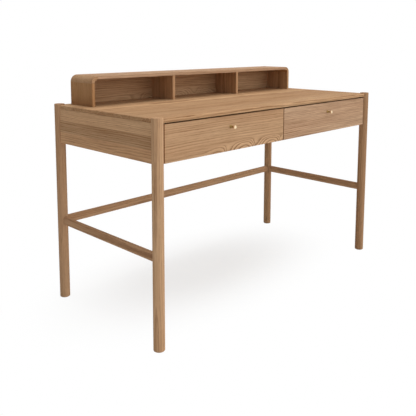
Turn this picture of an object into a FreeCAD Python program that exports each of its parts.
import FreeCAD, Part
import os
from math import pi

import Sketcher
from FreeCAD import Placement, Rotation, Vector

# A writing desk on four round legs, with two drawers side by side under the worktop
# and a low open hutch along the worktop's rear edge.
# Frame: X to the right, Y to the back, Z up. The origin is the centre of the legs'
# footprint, on the floor. All sizes are millimetres.

DRIVING_DIMENSIONS = {
    # whole desk
    "overall_width": 1300,
    "overall_depth": 600,
    "desk_height": 750,
    "face_inset": 10,
    "case_bottom": 608,
    "ease": 1.5,
    # legs and glides
    "leg_diameter": 38,
    "leg_proud": 4,
    "leg_ease": 1.5,
    "glide_diameter": 34,
    "glide_height": 1,
    "nail_diameter": 4,
    "nail_length": 12,
    # stretchers
    "stretcher_height": 306,
    "stretcher_tall": 33,
    "stretcher_thick": 19,
    "tenon_diameter": 14,
    "tenon_length": 11,
    # worktop and case
    "top_thick": 14,
    "top_ease": 2.5,
    "panel_thick": 18,
    "rail_setback": 32,
    "rail_deep": 70,
    "divider_lift": 4,
    "block_long": 60,
    "block_deep": 20,
    # dowels of the frame
    "dowel_diameter": 8,
    "dowel_length": 40,
    "dowel_in_leg": 12,
    "dowel_in_side": 10,
    "dowel_low": 640,
    "dowel_high": 700,
    # countersunk wood screws
    "screw_diameter": 4,
    "screw_head": 8,
    "screw_length": 28,
    "screw_tip": 3,
    "screw_near": 160,
    "screw_far": 480,
    "hutch_screw_inset": 34,
    # drawer fronts and boxes
    "front_gap": 4.8,
    "front_gap_middle": 4,
    "front_gap_leg": 3,
    "box_long": 450,
    "box_low": 620,
    "box_high": 708,
    "box_wall": 12,
    "box_floor_thick": 6,
    "box_floor_lift": 10,
    "groove_deep": 6,
    "box_dowel_diameter": 6,
    "box_dowel_length": 24,
    "box_dowel_in_front": 10,
    "box_dowel_low": 650,
    "box_dowel_high": 690,
    # knobs
    "knob_drop": 37.7,
    "knob_length": 22,
    "knob_head": 12,
    "knob_head_thick": 3,
    "knob_stem": 6,
    "knob_stem_length": 11,
    "knob_base": 12,
    "knob_base_thick": 1.2,
    "knob_taper": 7,
    "knob_flare": 9,
    "knob_ease": 0.6,
    "knob_screw_head": 8,
    "knob_screw_head_thick": 2.4,
    "knob_screw_grip": 10,
    # telescopic runners
    "leg_clear": 1,
    "runner_space": 12.7,
    "runner_tall": 45,
    "runner_height": 668,
    "runner_long": 450,
    "runner_start": 35,
    "runner_wall": 1.2,
    "runner_clear": 0.6,
    "fixed_reach": 9,
    "middle_stand": 3.6,
    "middle_reach": 6.6,
    "middle_long": 440,
    "slider_reach": 6.3,
    "slider_long": 433,
    "runner_screw_diameter": 3,
    "runner_screw_head": 6,
    "runner_screw_head_thick": 1.6,
    "runner_screw_grip": 8,
    "runner_screw_inset": 20,
    # hutch
    "hutch_width": 1183,
    "hutch_deep": 140,
    "hutch_setback": 26,
    "hutch_tall": 112,
    "hutch_board": 13,
    "hutch_back_thick": 9,
    "hutch_corner": 27,
    "hutch_ease": 1,
}

FRONT = Vector(0, -1, 0)
REAR = Vector(0, 1, 0)
UP = Vector(0, 0, 1)
DOWN = Vector(0, 0, -1)
ROUND = "round"
AXES = {"x": Vector(1, 0, 0), "y": Vector(0, 1, 0), "z": Vector(0, 0, 1)}
UPRIGHT = Rotation()
POINT_RIGHT = Rotation(Vector(0, 1, 0), 90)
POINT_BACK = Rotation(Vector(1, 0, 0), -90)
SIDES = {"left": -1, "right": 1}
ENDS = {"front": -1, "rear": 1}

doc = FreeCAD.newDocument("desk_with_hutch")
dims = doc.addObject("Spreadsheet::Sheet", "dims")
for row, (alias, value) in enumerate(DRIVING_DIMENSIONS.items(), start=1):
    dims.set(f"A{row}", alias)
    dims.set(f"B{row}", str(value))
    dims.setAlias(f"B{row}", alias)
doc.recompute()

# Places worked out from the driving dimensions
LEG_X = "(dims.overall_width - dims.leg_diameter) / 2"
LEG_Y = "(dims.overall_depth - dims.leg_diameter) / 2"
LEG_RADIUS = "dims.leg_diameter / 2"
FACE_X = "(dims.overall_width / 2 - dims.face_inset)"
FACE_Y = "(dims.overall_depth / 2 - dims.face_inset)"
SIDE_INSIDE = f"({FACE_X} - dims.panel_thick)"
BACK_INSIDE = f"({FACE_Y} - dims.panel_thick)"
TOP_UNDERSIDE = "(dims.desk_height - dims.top_thick)"
RAIL_UNDERSIDE = f"({TOP_UNDERSIDE} - dims.panel_thick)"
RAIL_FRONT = f"(dims.rail_setback - {FACE_Y})"
RAIL_MIDDLE = f"({RAIL_FRONT} + dims.rail_deep / 2)"
CASE_RUNNER_FACE = "(dims.overall_width / 2 - dims.leg_diameter - dims.leg_clear)"
DIVIDER_FACE = "(dims.panel_thick / 2)"
DRAWER_BACK_OF_FRONT = f"(dims.panel_thick - {FACE_Y})"
FRONT_TOP = f"({TOP_UNDERSIDE} - dims.front_gap)"
FRONT_INNER = "(dims.front_gap_middle / 2)"
FRONT_OUTER = "(dims.overall_width / 2 - dims.leg_diameter - dims.front_gap_leg)"
BOX_OUTER = f"({CASE_RUNNER_FACE} - dims.runner_space)"
BOX_INNER = f"({DIVIDER_FACE} + dims.runner_space)"
BOX_REAR = f"({DRAWER_BACK_OF_FRONT} + dims.box_long)"
BOX_FLOOR = "(dims.box_low + dims.box_floor_lift)"
BOX_FLOOR_TOP = f"({BOX_FLOOR} + dims.box_floor_thick)"
KNOB_X = f"({FRONT_INNER} + {FRONT_OUTER}) / 2"
KNOB_Z = f"({FRONT_TOP} - dims.knob_drop)"
RUNNER_FRONT = f"(dims.runner_start - {FACE_Y})"
HUTCH_REAR = f"({FACE_Y} - dims.hutch_setback)"
HUTCH_FRONT = f"({HUTCH_REAR} - dims.hutch_deep)"
HUTCH_TOP = "(dims.desk_height + dims.hutch_tall)"
HUTCH_INNER_RADIUS = "(dims.hutch_corner - dims.hutch_board)"
HUTCH_SIDE_INSIDE = "(dims.hutch_width / 2 - dims.hutch_board)"
PARTITION_X = "((dims.hutch_width - 4 * dims.hutch_board) / 6 + dims.hutch_board / 2)"

pieces = []


def value_of(expression):
    return float(dims.evalExpression(expression))


def span(one, other):
    """Two limits along an axis, the lower one first."""
    if value_of(one) < value_of(other):
        return one, other
    return other, one


def mirrored(side, near, far):
    """Limits at a distance from the middle plane, on the left (-1) or the right (+1)."""
    return span(f"{side} * ({near})", f"{side} * ({far})")


def distance(limits):
    return f"({limits[1]}) - ({limits[0]})"


def place(thing, x, y, z):
    for axis, expression in zip("xyz", (x, y, z)):
        thing.setExpression(f"Placement.Base.{axis}", expression)


def finished(thing, label):
    """Names a whole piece and puts it on the list of pieces to write."""
    thing.Label = label
    pieces.append(thing)
    return thing


def plane_sketch(body):
    ground = [part for part in body.Origin.OriginFeatures if part.Role == "XY_Plane"][0]
    sketch = body.newObject("Sketcher::SketchObject", body.Name + "_sketch")
    sketch.AttachmentSupport = [(ground, "")]
    sketch.MapMode = "FlatFace"
    return sketch


def size_constraint(sketch, name, expression, kind, *references):
    number = sketch.addConstraint(Sketcher.Constraint(kind, *references, value_of(expression)))
    sketch.renameConstraint(number, name)
    sketch.setExpression(f"Constraints.{name}", expression)


def padded(body, sketch, length):
    pad = body.newObject("PartDesign::Pad", body.Name + "_pad")
    pad.Profile = sketch
    pad.setExpression("Length", length)
    doc.recompute()
    return pad


def eased_edges(shape, normals, along):
    """Names of edges of the faces that look along the normals: round ones, or straight ones along axes."""
    names = []
    for number, edge in enumerate(shape.Edges, start=1):
        faces = [face for face in shape.Faces if any(edge.isSame(other) for other in face.Edges)]
        facing = any(face.normalAt(0, 0).dot(normal) > 0.99 for face in faces for normal in normals)
        if edge.Curve.TypeId == "Part::GeomCircle":
            wanted = along == ROUND
        else:
            direction = edge.tangentAt(edge.FirstParameter)
            wanted = any(abs(direction.dot(AXES[axis])) > 0.99 for axis in AXES if axis in along)
        if facing and wanted:
            names.append(f"Edge{number}")
    return names


def ease(body, feature, normals, along, radius):
    fillet = body.newObject("PartDesign::Fillet", body.Name + "_fillet")
    fillet.Base = (feature, eased_edges(feature.Shape, normals, along))
    fillet.setExpression("Radius", radius)
    doc.recompute()
    return fillet


def board(name, across, along, up, eased=(), edges="xyz", radius="dims.ease"):
    """A board between three pairs of limits, with the edges of its eased faces rounded."""
    body = doc.addObject("PartDesign::Body", name)
    place(body, across[0], along[0], up[0])
    wide = value_of(distance(across))
    deep = value_of(distance(along))
    sketch = plane_sketch(body)
    corners = [Vector(0, 0, 0), Vector(wide, 0, 0), Vector(wide, deep, 0), Vector(0, deep, 0)]
    for start, end in zip(corners, corners[1:] + corners[:1]):
        sketch.addGeometry(Part.LineSegment(start, end))
    for line in range(4):
        sketch.addConstraint(Sketcher.Constraint("Coincident", line, 2, (line + 1) % 4, 1))
        sketch.addConstraint(Sketcher.Constraint("Vertical" if line % 2 else "Horizontal", line))
    sketch.addConstraint(Sketcher.Constraint("Coincident", 0, 1, -1, 1))
    size_constraint(sketch, "wide", distance(across), "DistanceX", 0, 1, 0, 2)
    size_constraint(sketch, "deep", distance(along), "DistanceY", 1, 1, 1, 2)
    pad = padded(body, sketch, distance(up))
    if eased:
        ease(body, pad, eased, edges, radius)
    return body


def turned(name, profile):
    """A turned piece about its own Z axis: the profile holds pairs of radius and height."""
    body = doc.addObject("PartDesign::Body", name)
    sketch = plane_sketch(body)
    points = [Vector(value_of(radius), value_of(height), 0) for radius, height in profile]
    for start, end in zip(points, points[1:] + points[:1]):
        sketch.addGeometry(Part.LineSegment(start, end))
    last = len(points)
    for line in range(last):
        sketch.addConstraint(Sketcher.Constraint("Coincident", line, 2, (line + 1) % last, 1))
    for line, (radius, height) in enumerate(profile):
        if value_of(radius) == 0:
            sketch.addConstraint(Sketcher.Constraint("PointOnObject", line, 1, -2))
        else:
            size_constraint(sketch, f"radius_{line}", radius, "DistanceX", -1, 1, line, 1)
        if value_of(height) == 0:
            sketch.addConstraint(Sketcher.Constraint("PointOnObject", line, 1, -1))
        else:
            size_constraint(sketch, f"height_{line}", height, "DistanceY", -1, 1, line, 1)
    turning = body.newObject("PartDesign::Revolution", name + "_turning")
    turning.Profile = sketch
    turning.ReferenceAxis = (sketch, ["V_Axis"])
    turning.Angle = 360
    doc.recompute()
    return body, turning


def rod(name, diameter, length, rotation, x, y, z):
    cylinder = doc.addObject("Part::Cylinder", name)
    cylinder.setExpression("Radius", f"({diameter}) / 2")
    cylinder.setExpression("Height", length)
    cylinder.Placement = Placement(Vector(), rotation)
    place(cylinder, x, y, z)
    return cylinder


def group(name, members):
    compound = doc.addObject("Part::Compound", name)
    compound.Links = members
    return compound


def repeated(name, master, places):
    """Copies of one piece, each with its rotation and its three coordinates."""
    copies = []
    for number, (rotation, x, y, z) in enumerate(places, start=1):
        copy = doc.addObject("App::Link", f"{name}_{number}")
        copy.LinkedObject = master
        copy.Placement = Placement(Vector(), rotation)
        place(copy, x, y, z)
        copies.append(copy)
    return group(name, copies)


def let_in(base, *others):
    """The base with room cut out for the other pieces."""
    for other in others:
        cut = doc.addObject("Part::Cut", base.Name + "_cut")
        cut.Base = base
        cut.Tool = other
        base = cut
    doc.recompute()
    return base


def joined(base, other):
    fuse = doc.addObject("Part::Fuse", base.Name + "_joined")
    fuse.Base = base
    fuse.Tool = other
    doc.recompute()
    return fuse


# Space that each leg takes out of the pieces that meet it
leg_spaces = group("leg_spaces", [
    rod(f"leg_space_{end}_{side}", "dims.leg_diameter", "dims.desk_height + dims.leg_proud",
        UPRIGHT, f"{SIDES[side]} * {LEG_X}", f"{ENDS[end]} * {LEG_Y}", "0")
    for end in ENDS for side in SIDES
])

# Dowels: side panels and back panel into the legs, front rail into the side panels
dowel = rod("dowel", "dims.dowel_diameter", "dims.dowel_length", UPRIGHT, "0", "0", "0")
leg_dowel_end = "dims.dowel_in_leg - dims.leg_diameter / 2"
dowel_places = []
for side in SIDES.values():
    for height in ("dims.dowel_low", "dims.dowel_high"):
        for end in ENDS.values():
            reach = f"{LEG_Y} + {leg_dowel_end}"
            start = mirrored(end, reach, f"{reach} - dims.dowel_length")[0]
            dowel_places.append((POINT_BACK, f"{side} * {LEG_X}", start, height))
        reach = f"{LEG_X} + {leg_dowel_end}"
        start = mirrored(side, reach, f"{reach} - dims.dowel_length")[0]
        dowel_places.append((POINT_RIGHT, start, LEG_Y, height))
    for shift in ("-dims.rail_deep / 4", "dims.rail_deep / 4"):
        reach = f"{SIDE_INSIDE} + dims.dowel_in_side"
        start = mirrored(side, reach, f"{reach} - dims.dowel_length")[0]
        dowel_places.append((POINT_RIGHT, start, f"{RAIL_MIDDLE} + {shift}",
                             f"{RAIL_UNDERSIDE} + dims.panel_thick / 2"))
frame_dowels = finished(repeated("frame_dowels", dowel, dowel_places), "frame_dowels")

# Countersunk screws from below: the worktop on its rail and blocks, the hutch on the worktop
wood_screw, _ = turned("wood_screw", [
    ("0", "0"),
    ("dims.screw_head / 2", "0"),
    ("dims.screw_diameter / 2", "(dims.screw_head - dims.screw_diameter) / 2"),
    ("dims.screw_diameter / 2", "dims.screw_length - dims.screw_tip"),
    ("0", "dims.screw_length"),
])
POINT_UP = Rotation(Vector(1, 0, 0), 90)
screw_columns = [f"{side} * {column}" for side in SIDES.values()
                 for column in ("dims.screw_near", "dims.screw_far")]
block_middle = f"{BACK_INSIDE} - dims.block_deep / 2"
top_screws = finished(repeated("top_screws", wood_screw, [
    (POINT_UP, column, row, RAIL_UNDERSIDE)
    for column in screw_columns for row in (RAIL_MIDDLE, block_middle)
]), "top_screws")
hutch_uprights = ("dims.hutch_width / 2 - dims.hutch_board / 2", PARTITION_X)
hutch_screws = finished(repeated("hutch_screws", wood_screw, [
    (POINT_UP, f"{side} * ({upright})", row, TOP_UNDERSIDE)
    for side in SIDES.values() for upright in hutch_uprights
    for row in (f"{HUTCH_FRONT} + dims.hutch_screw_inset", f"{HUTCH_REAR} - dims.hutch_screw_inset")
]), "hutch_screws")

# Foot glides, each a plastic disc with its nail
glide, _ = turned("glide", [
    ("0", "0"),
    ("dims.glide_diameter / 2 - dims.glide_height / 3", "0"),
    ("dims.glide_diameter / 2", "dims.glide_height / 3"),
    ("dims.glide_diameter / 2", "dims.glide_height"),
    ("dims.nail_diameter / 2", "dims.glide_height"),
    ("dims.nail_diameter / 2", "dims.glide_height + dims.nail_length"),
    ("0", "dims.glide_height + dims.nail_length"),
])
foot_glides = finished(repeated("foot_glides", glide, [
    (POINT_UP, f"{side} * {LEG_X}", f"{end} * {LEG_Y}", "0")
    for side in SIDES.values() for end in ENDS.values()
]), "foot_glides")

# Oval stretchers, coped round the legs, with a round tenon at each end
ALONG_Y = Rotation(Vector(0, 0, 1), Vector(1, 0, 0), Vector(0, 1, 0), "ZXY")
ALONG_X = Rotation(Vector(0, 0, 1), Vector(0, -1, 0), Vector(1, 0, 0), "ZXY")
tenon_start = f"{LEG_RADIUS} - dims.tenon_length"
tenons = []


def stretcher(label, rotation, rod_rotation, reach, start, tenon_place):
    section = doc.addObject("Part::Ellipse", label + "_section")
    section.setExpression("MajorRadius", "dims.stretcher_tall / 2")
    section.setExpression("MinorRadius", "dims.stretcher_thick / 2")
    section.Placement = Placement(Vector(), rotation)
    place(section, *start, "dims.stretcher_height")
    bar = doc.addObject("Part::Extrusion", label + "_bar")
    bar.Base = section
    bar.DirMode = "Custom"
    bar.Dir = rotation.multVec(Vector(0, 0, 1))
    bar.setExpression("LengthFwd", f"2 * {reach}")
    bar.Solid = True
    tenon = rod(label + "_tenon", "dims.tenon_diameter", f"2 * ({reach} - ({tenon_start}))",
                rod_rotation, *tenon_place, "dims.stretcher_height")
    tenons.append(tenon)
    doc.recompute()
    finished(joined(let_in(bar, leg_spaces), tenon), label)


for side, sign in SIDES.items():
    line = f"{sign} * {LEG_X}"
    stretcher(f"stretcher_{side}", ALONG_Y, POINT_BACK, LEG_Y,
              (line, f"-({LEG_Y})"), (line, f"{tenon_start} - {LEG_Y}"))
stretcher("stretcher_rear", ALONG_X, POINT_RIGHT, LEG_X,
          (f"-({LEG_X})", LEG_Y), (f"{tenon_start} - {LEG_X}", LEG_Y))

# Round legs, proud of the worktop, with eased rims
all_tenons = group("all_tenons", tenons)
for end, end_sign in ENDS.items():
    for side, side_sign in SIDES.items():
        leg = doc.addObject("PartDesign::Body", f"leg_{end}_{side}_body")
        place(leg, f"{side_sign} * {LEG_X}", f"{end_sign} * {LEG_Y}", "dims.glide_height")
        leg_sketch = plane_sketch(leg)
        leg_sketch.addGeometry(Part.Circle(Vector(), UP, value_of(LEG_RADIUS)))
        leg_sketch.addConstraint(Sketcher.Constraint("Coincident", 0, 3, -1, 1))
        size_constraint(leg_sketch, "across", "dims.leg_diameter", "Diameter", 0)
        leg_pad = padded(leg, leg_sketch, "dims.desk_height + dims.leg_proud - dims.glide_height")
        ease(leg, leg_pad, [UP, DOWN], ROUND, "dims.leg_ease")
        finished(let_in(leg, frame_dowels, all_tenons, foot_glides), f"leg_{end}_{side}")

# Side panels and back panel, let in between the legs
case_height = ("dims.case_bottom", TOP_UNDERSIDE)
for side, sign in SIDES.items():
    panel = board(f"side_panel_{side}_board", mirrored(sign, SIDE_INSIDE, FACE_X),
                  (f"-({LEG_Y})", LEG_Y), case_height, [DOWN], "y")
    finished(let_in(panel, leg_spaces, frame_dowels), f"side_panel_{side}")
panel = board("back_panel_board", (f"-({LEG_X})", LEG_X), (BACK_INSIDE, FACE_Y),
              case_height, [DOWN], "x")
finished(let_in(panel, leg_spaces, frame_dowels), "back_panel")

# Front rail, centre divider and the blocks at the worktop's rear edge
rail_height = (RAIL_UNDERSIDE, TOP_UNDERSIDE)
rail = board("front_rail_board", (f"-{SIDE_INSIDE}", SIDE_INSIDE),
             (RAIL_FRONT, f"{RAIL_FRONT} + dims.rail_deep"), rail_height)
front_rail = finished(let_in(rail, frame_dowels, top_screws), "front_rail")
divider = board("centre_divider_board", (f"-{DIVIDER_FACE}", DIVIDER_FACE), (RAIL_FRONT, BACK_INSIDE),
                ("dims.case_bottom + dims.divider_lift", TOP_UNDERSIDE))
block = board("block", ("0", "dims.block_long"), ("0", "dims.block_deep"), ("0", "dims.panel_thick"))
blocks = repeated("blocks", block, [
    (UPRIGHT, f"{column} - dims.block_long / 2", f"{BACK_INSIDE} - dims.block_deep", RAIL_UNDERSIDE)
    for column in screw_columns
])
finished(let_in(blocks, top_screws), "top_blocks")

# Worktop, notched round the legs
worktop = board("desk_top_board", (f"-{FACE_X}", FACE_X), (f"-{FACE_Y}", FACE_Y),
                (TOP_UNDERSIDE, "dims.desk_height"), [UP, DOWN], "xy", "dims.top_ease")
finished(let_in(worktop, leg_spaces, top_screws, hutch_screws), "desk_top")

# Hutch: three open compartments whose floor is the worktop
hutch_depth = (HUTCH_FRONT, HUTCH_REAR)
top_board_end = "(dims.hutch_width / 2 - dims.hutch_corner)"
top_board_low = f"{HUTCH_TOP} - dims.hutch_board"
finished(board("hutch_top", (f"-{top_board_end}", top_board_end), hutch_depth,
               (top_board_low, HUTCH_TOP), [FRONT, REAR], "x", "dims.hutch_ease"), "hutch_top")
finished(board("hutch_back", (f"-{HUTCH_SIDE_INSIDE}", HUTCH_SIDE_INSIDE),
               (f"{HUTCH_REAR} - dims.hutch_back_thick", HUTCH_REAR), ("dims.desk_height", top_board_low),
               [UP], "y", HUTCH_INNER_RADIUS), "hutch_back")
for side, sign in SIDES.items():
    upright = board(f"hutch_side_{side}_board", mirrored(sign, HUTCH_SIDE_INSIDE, "dims.hutch_width / 2"),
                    hutch_depth, ("dims.desk_height", f"{HUTCH_TOP} - dims.hutch_corner"),
                    [FRONT, REAR], "z", "dims.hutch_ease")
    finished(let_in(upright, hutch_screws), f"hutch_side_{side}")
    upright = board(f"hutch_partition_{side}_board",
                    mirrored(sign, f"{PARTITION_X} - dims.hutch_board / 2",
                             f"{PARTITION_X} + dims.hutch_board / 2"),
                    (HUTCH_FRONT, f"{HUTCH_REAR} - dims.hutch_back_thick"),
                    ("dims.desk_height", top_board_low), [FRONT], "z", "dims.hutch_ease")
    finished(let_in(upright, hutch_screws), f"hutch_partition_{side}")

# Rounded corner pieces between the hutch's sides and its top
CORNER_TURNS = {
    "left": Rotation(Vector(-1, 0, 0), Vector(0, 0, 1), Vector(0, 1, 0), "ZXY"),
    "right": Rotation(Vector(1, 0, 0), Vector(0, 0, 1), Vector(0, -1, 0), "ZXY"),
}
for side, sign in SIDES.items():
    corner = doc.addObject("PartDesign::Body", f"hutch_corner_{side}")
    corner.Placement = Placement(Vector(), CORNER_TURNS[side])
    corner_y = HUTCH_FRONT if side == "left" else HUTCH_REAR
    place(corner, f"{sign} * {top_board_end}", corner_y, f"{HUTCH_TOP} - dims.hutch_corner")
    sketch = plane_sketch(corner)
    outer = value_of("dims.hutch_corner")
    inner = value_of(HUTCH_INNER_RADIUS)
    for radius in (outer, inner):
        sketch.addGeometry(Part.ArcOfCircle(Part.Circle(Vector(), UP, radius), 0, pi / 2))
    sketch.addGeometry(Part.LineSegment(Vector(inner, 0, 0), Vector(outer, 0, 0)))
    sketch.addGeometry(Part.LineSegment(Vector(0, inner, 0), Vector(0, outer, 0)))
    for arc in (0, 1):
        sketch.addConstraint(Sketcher.Constraint("Coincident", arc, 3, -1, 1))
        sketch.addConstraint(Sketcher.Constraint("PointOnObject", arc, 1, -1))
        sketch.addConstraint(Sketcher.Constraint("PointOnObject", arc, 2, -2))
    for line, arc_end in ((2, 1), (3, 2)):
        sketch.addConstraint(Sketcher.Constraint("Coincident", line, 1, 1, arc_end))
        sketch.addConstraint(Sketcher.Constraint("Coincident", line, 2, 0, arc_end))
    size_constraint(sketch, "outer", "dims.hutch_corner", "Radius", 0)
    size_constraint(sketch, "inner", HUTCH_INNER_RADIUS, "Radius", 1)
    corner_pad = padded(corner, sketch, "dims.hutch_deep")
    ease(corner, corner_pad, [UP, DOWN], ROUND, "dims.hutch_ease")
    finished(corner, f"hutch_corner_{side}")

# Runner screws: a flat head on a short shank, for case and drawer members alike
runner_screw_shank = "dims.runner_screw_grip + dims.runner_wall"
runner_screw, _ = turned("runner_screw", [
    ("0", "0"),
    ("dims.runner_screw_head / 2", "0"),
    ("dims.runner_screw_head / 2", "dims.runner_screw_head_thick"),
    ("dims.runner_screw_diameter / 2", "dims.runner_screw_head_thick"),
    ("dims.runner_screw_diameter / 2", f"dims.runner_screw_head_thick + {runner_screw_shank}"),
    ("0", f"dims.runner_screw_head_thick + {runner_screw_shank}"),
])
SCREW_LEFT = Rotation(Vector(0, 0, 1), 90)
SCREW_RIGHT = Rotation(Vector(0, 0, 1), -90)


def across_runner(side, place_name, stand):
    """X at a distance from the face that carries a runner, measured towards its drawer."""
    if place_name == "outer":
        return f"{side} * ({CASE_RUNNER_FACE} - ({stand}))"
    return f"{side} * ({DIVIDER_FACE} + ({stand}))"


def channel(name, side, place_name, back, lips, half, long):
    """A runner member of C section, from the flat back to the lips of its flanges."""
    ends = (RUNNER_FRONT, f"{RUNNER_FRONT} + {long}")
    wall = "dims.runner_wall" if value_of(back) < value_of(lips) else "-dims.runner_wall"
    outside = board(name + "_outside",
                    span(across_runner(side, place_name, back), across_runner(side, place_name, lips)),
                    ends, (f"dims.runner_height - ({half})", f"dims.runner_height + ({half})"))
    inside_half = f"({half}) - dims.runner_wall"
    inside = board(name + "_inside",
                   span(across_runner(side, place_name, f"{back} + {wall}"),
                        across_runner(side, place_name, lips)),
                   ends, (f"dims.runner_height - ({inside_half})", f"dims.runner_height + ({inside_half})"))
    return let_in(outside, inside)


def runner_screws(name, side, place_names, stand, into_drawer, long):
    """Three screws for each member, their heads against its web."""
    rows = [f"{RUNNER_FRONT} + dims.runner_screw_inset", f"{RUNNER_FRONT} + {long} / 2",
            f"{RUNNER_FRONT} + {long} - dims.runner_screw_inset"]
    places = []
    for place_name in place_names:
        towards_drawer = -side if place_name == "outer" else side
        direction = towards_drawer if into_drawer else -towards_drawer
        rotation = SCREW_RIGHT if direction > 0 else SCREW_LEFT
        for row in rows:
            places.append((rotation, across_runner(side, place_name, stand), row, "dims.runner_height"))
    return repeated(name, runner_screw, places)


PLACES = ("outer", "inner")
fixed_half = "dims.runner_tall / 2"
middle_half = f"{fixed_half} - dims.runner_wall - dims.runner_clear"
slider_half = f"{middle_half} - dims.runner_wall - dims.runner_clear"
middle_lips = "dims.middle_stand + dims.middle_reach"
slider_lips = "dims.runner_space - dims.slider_reach"
head_on_case = "dims.runner_wall + dims.runner_screw_head_thick"
head_on_drawer = f"dims.runner_space - ({head_on_case})"

# Fixed runner members with their screws, the battens that carry the outer ones, the divider
case_screws = [runner_screws(f"case_screws_{side}", sign, PLACES, head_on_case, False, "dims.runner_long")
               for side, sign in SIDES.items()]
all_case_screws = finished(group("runner_screws", case_screws), "runner_screws")
for side, sign in SIDES.items():
    for place_name in PLACES:
        member = channel(f"fixed_{side}_{place_name}", sign, place_name, "0", "dims.fixed_reach",
                         fixed_half, "dims.runner_long")
        finished(let_in(member, all_case_screws), f"runner_fixed_{side}_{place_name}")
        finished(channel(f"middle_{side}_{place_name}", sign, place_name, "dims.middle_stand",
                         middle_lips, middle_half, "dims.middle_long"), f"runner_middle_{side}_{place_name}")
    batten = board(f"runner_batten_{side}_board", mirrored(sign, CASE_RUNNER_FACE, SIDE_INSIDE),
                   (RUNNER_FRONT, f"{RUNNER_FRONT} + dims.runner_long"),
                   (f"dims.runner_height - {fixed_half}", f"dims.runner_height + {fixed_half}"))
    finished(let_in(batten, all_case_screws), f"runner_batten_{side}")
finished(let_in(divider, front_rail, all_case_screws), "centre_divider")

# Knob: a turned foot that tapers to a thin neck, which flares to a flat round head
knob_body, knob_turning = turned("knob_blank", [
    ("0", "0"),
    ("dims.knob_base / 2", "0"),
    ("dims.knob_base / 2", "dims.knob_base_thick"),
    ("dims.knob_stem / 2", "dims.knob_taper"),
    ("dims.knob_stem / 2", "dims.knob_stem_length"),
    ("dims.knob_head / 2", "dims.knob_length - dims.knob_head_thick"),
    ("dims.knob_head / 2", "dims.knob_length"),
    ("0", "dims.knob_length"),
])


def ring_edges(shape, radius, height):
    """Names of the circular edges of a turned piece at one radius and one height."""
    return [f"Edge{number}" for number, edge in enumerate(shape.Edges, start=1)
            if edge.Curve.TypeId == "Part::GeomCircle"
            and abs(edge.Curve.Radius - value_of(radius)) < 0.01
            and abs(edge.Curve.Center.y - value_of(height)) < 0.01]


knob_flare = knob_body.newObject("PartDesign::Fillet", "knob_flare")
neck_ends = [ring_edges(knob_turning.Shape, "dims.knob_stem / 2", height)
             for height in ("dims.knob_taper", "dims.knob_stem_length")]
knob_flare.Base = (knob_turning, [name for names in neck_ends for name in names])
knob_flare.setExpression("Radius", "dims.knob_flare")
doc.recompute()
knob_rims = [ring_edges(knob_flare.Shape, "dims.knob_head / 2", height)
             for height in ("dims.knob_length", "dims.knob_length - dims.knob_head_thick")]
knob_rims.append(ring_edges(knob_flare.Shape, "dims.knob_base / 2", "dims.knob_base_thick"))
knob_rim = knob_body.newObject("PartDesign::Fillet", "knob_rim")
knob_rim.Base = (knob_flare, [name for names in knob_rims for name in names])
knob_rim.setExpression("Radius", "dims.knob_ease")
doc.recompute()
knob_screw_shank = "dims.panel_thick + dims.knob_screw_grip"
knob_screw_blank, _ = turned("knob_screw_blank", [
    ("0", "0"),
    ("dims.knob_screw_head / 2", "0"),
    ("dims.knob_screw_head / 2", "dims.knob_screw_head_thick"),
    ("dims.screw_diameter / 2", "dims.knob_screw_head_thick"),
    ("dims.screw_diameter / 2", f"dims.knob_screw_head_thick + {knob_screw_shank}"),
    ("0", f"dims.knob_screw_head_thick + {knob_screw_shank}"),
])
FACING_FRONT = Rotation(Vector(0, 0, 1), 180)

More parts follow.
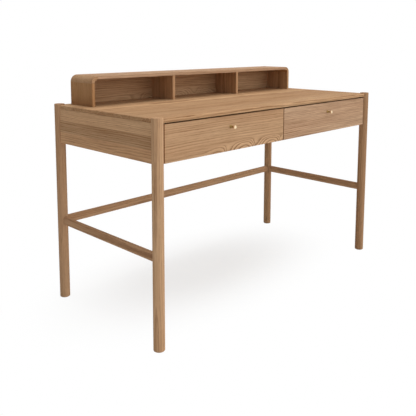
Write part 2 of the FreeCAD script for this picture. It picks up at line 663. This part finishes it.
# Drawers: a front with its knob, and a grooved box on the runners' drawer members
box_dowel = rod("box_dowel", "dims.box_dowel_diameter", "dims.box_dowel_length", UPRIGHT, "0", "0", "0")
for side, sign in SIDES.items():
    name = f"drawer_{side}"
    knob_x = f"{sign} * {KNOB_X}"
    wall_middles = [f"{sign} * ({BOX_OUTER} - dims.box_wall / 2)",
                    f"{sign} * ({BOX_INNER} + dims.box_wall / 2)"]
    dowels = finished(repeated(f"{name}_dowels", box_dowel, [
        (POINT_BACK, wall_x, f"{DRAWER_BACK_OF_FRONT} - dims.box_dowel_in_front", height)
        for wall_x in wall_middles for height in ("dims.box_dowel_low", "dims.box_dowel_high")
    ]), f"{name}_dowels")
    slider_screws = finished(runner_screws(f"{name}_runner_screws", sign, PLACES, head_on_drawer, True,
                                           "dims.slider_long"), f"{name}_runner_screws")
    knob_screw = finished(repeated(f"{name}_knob_screw", knob_screw_blank, [
        (FACING_FRONT, knob_x, f"{DRAWER_BACK_OF_FRONT} + dims.knob_screw_head_thick", KNOB_Z),
    ]), f"{name}_knob_screw")
    knob = repeated(f"{name}_knob_blank", knob_body, [(FACING_FRONT, knob_x, f"-{FACE_Y}", KNOB_Z)])
    finished(let_in(knob, knob_screw), f"{name}_knob")

    box_inside = mirrored(sign, f"{BOX_INNER} + dims.box_wall", f"{BOX_OUTER} - dims.box_wall")
    floor = finished(board(f"{name}_bottom",
                           (f"{box_inside[0]} - dims.groove_deep", f"{box_inside[1]} + dims.groove_deep"),
                           (f"{DRAWER_BACK_OF_FRONT} - dims.groove_deep", BOX_REAR),
                           (BOX_FLOOR, BOX_FLOOR_TOP)), f"{name}_bottom")
    finished(board(f"{name}_back", box_inside, (f"{BOX_REAR} - dims.box_wall", BOX_REAR),
                   (BOX_FLOOR_TOP, "dims.box_high")), f"{name}_back")
    front = board(f"{name}_front_board", mirrored(sign, FRONT_INNER, FRONT_OUTER),
                  (f"-{FACE_Y}", DRAWER_BACK_OF_FRONT), ("dims.case_bottom", FRONT_TOP), [FRONT])
    finished(let_in(front, floor, dowels, knob_screw), f"{name}_front")
    walls = {
        "outer": mirrored(sign, BOX_OUTER, f"{BOX_OUTER} - dims.box_wall"),
        "inner": mirrored(sign, BOX_INNER, f"{BOX_INNER} + dims.box_wall"),
    }
    for place_name, across in walls.items():
        wall = board(f"{name}_wall_{place_name}", across, (DRAWER_BACK_OF_FRONT, BOX_REAR),
                     ("dims.box_low", "dims.box_high"))
        finished(let_in(wall, floor, dowels, slider_screws), f"{name}_side_{place_name}")
        member = channel(f"slider_{side}_{place_name}", sign, place_name, "dims.runner_space",
                         slider_lips, slider_half, "dims.slider_long")
        finished(let_in(member, slider_screws), f"{name}_runner_{place_name}")

# Every object is whole before anything is written
doc.recompute()
failed = [thing.Name for thing in doc.Objects if "Invalid" in thing.State or "Error" in thing.State]
if failed:
    raise RuntimeError(f"failed objects: {failed}")
for piece in pieces:
    if piece.Shape.isNull() or not piece.Shape.isValid() or not piece.Shape.Solids:
        raise RuntimeError(f"unsound piece: {piece.Label}")

os.makedirs("parts", exist_ok=True)
for piece in pieces:
    piece.Shape.exportStep(f"parts/{piece.Label}.step")
    box = piece.Shape.BoundBox
    print(f"{piece.Label}: {len(piece.Shape.Solids)} solids, {piece.Shape.Volume:.0f} mm3, "
          f"x {box.XMin:.1f} to {box.XMax:.1f}, y {box.YMin:.1f} to {box.YMax:.1f}, "
          f"z {box.ZMin:.1f} to {box.ZMax:.1f}")
print(f"{len(pieces)} pieces")
